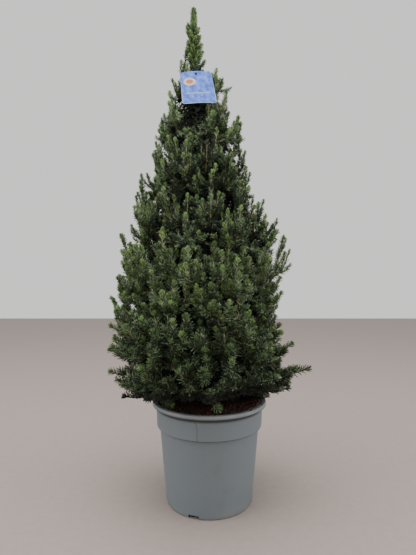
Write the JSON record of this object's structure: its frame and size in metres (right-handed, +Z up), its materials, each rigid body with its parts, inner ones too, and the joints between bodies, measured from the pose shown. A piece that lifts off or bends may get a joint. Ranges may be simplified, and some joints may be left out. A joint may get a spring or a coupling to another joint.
{
  "type": "potted alberta spruce",
  "caption": "Narrow conical dwarf conifer with dense short needles, growing in a round grey plastic nursery pot, with a plain blue hang tag near its top.",
  "frame": {"origin": "middle of the pot's flat underside", "axes": "+Z up along the pot's axis, -Y towards the front, +X towards the right seen from the front"},
  "size_m": [0.4486, 0.4129, 1.123],
  "materials": {
    "pot": "moulded plastic, satin, bluish grey, lightly soiled",
    "compost": "moist bark and peat compost, dark reddish brown",
    "bark": "rough thin bark, greyish brown",
    "needles": "mature needles, dark green, slightly glossy",
    "young_needles": "young needles at the shoots' tips, fresh green",
    "tag_plate": null,
    "tag_tie": "thin plastic strap, nearly black"
  },
  "bodies": {
    "root": {"pot": "pot", "soil": "compost", "trunk": "bark", "tag_plate": "tag_plate", "tag_tie": "tag_tie", "bough_1_1": "bark", "foliage_1_1": "young_needles", "bough_1_2": "bark", "foliage_1_2": "needles", "bough_1_3": "bark", "foliage_1_3": "young_needles", "bough_1_4": "bark", "foliage_1_4": "needles", "bough_1_5": "bark", "foliage_1_5": "young_needles", "bough_2_1": "bark", "foliage_2_1": "needles", "bough_2_2": "bark", "foliage_2_2": "young_needles", "bough_2_3": "bark", "foliage_2_3": "needles", "bough_2_4": "bark", "foliage_2_4": "young_needles", "bough_2_5": "bark", "foliage_2_5": "needles", "bough_3_1": "bark", "foliage_3_1": "young_needles", "bough_3_2": "bark", "foliage_3_2": "needles", "bough_3_3": "bark", "foliage_3_3": "young_needles", "bough_3_4": "bark", "foliage_3_4": "needles", "bough_3_5": "bark", "foliage_3_5": "young_needles", "bough_4_1": "bark", "foliage_4_1": "needles", "bough_4_2": "bark", "foliage_4_2": "young_needles", "bough_4_3": "bark", "foliage_4_3": "needles", "bough_4_4": "bark", "foliage_4_4": "young_needles", "bough_5_1": "bark", "foliage_5_1": "young_needles", "bough_5_2": "bark", "foliage_5_2": "needles", "bough_5_3": "bark", "foliage_5_3": "young_needles", "foliage_6_1": "needles", "foliage_6_2": "young_needles", "foliage_6_3": "needles", "foliage_7_1": "young_needles", "foliage_7_2": "needles", "foliage_7_3": "young_needles", "foliage_leader": "young_needles"}
  },
  "joints": []
}
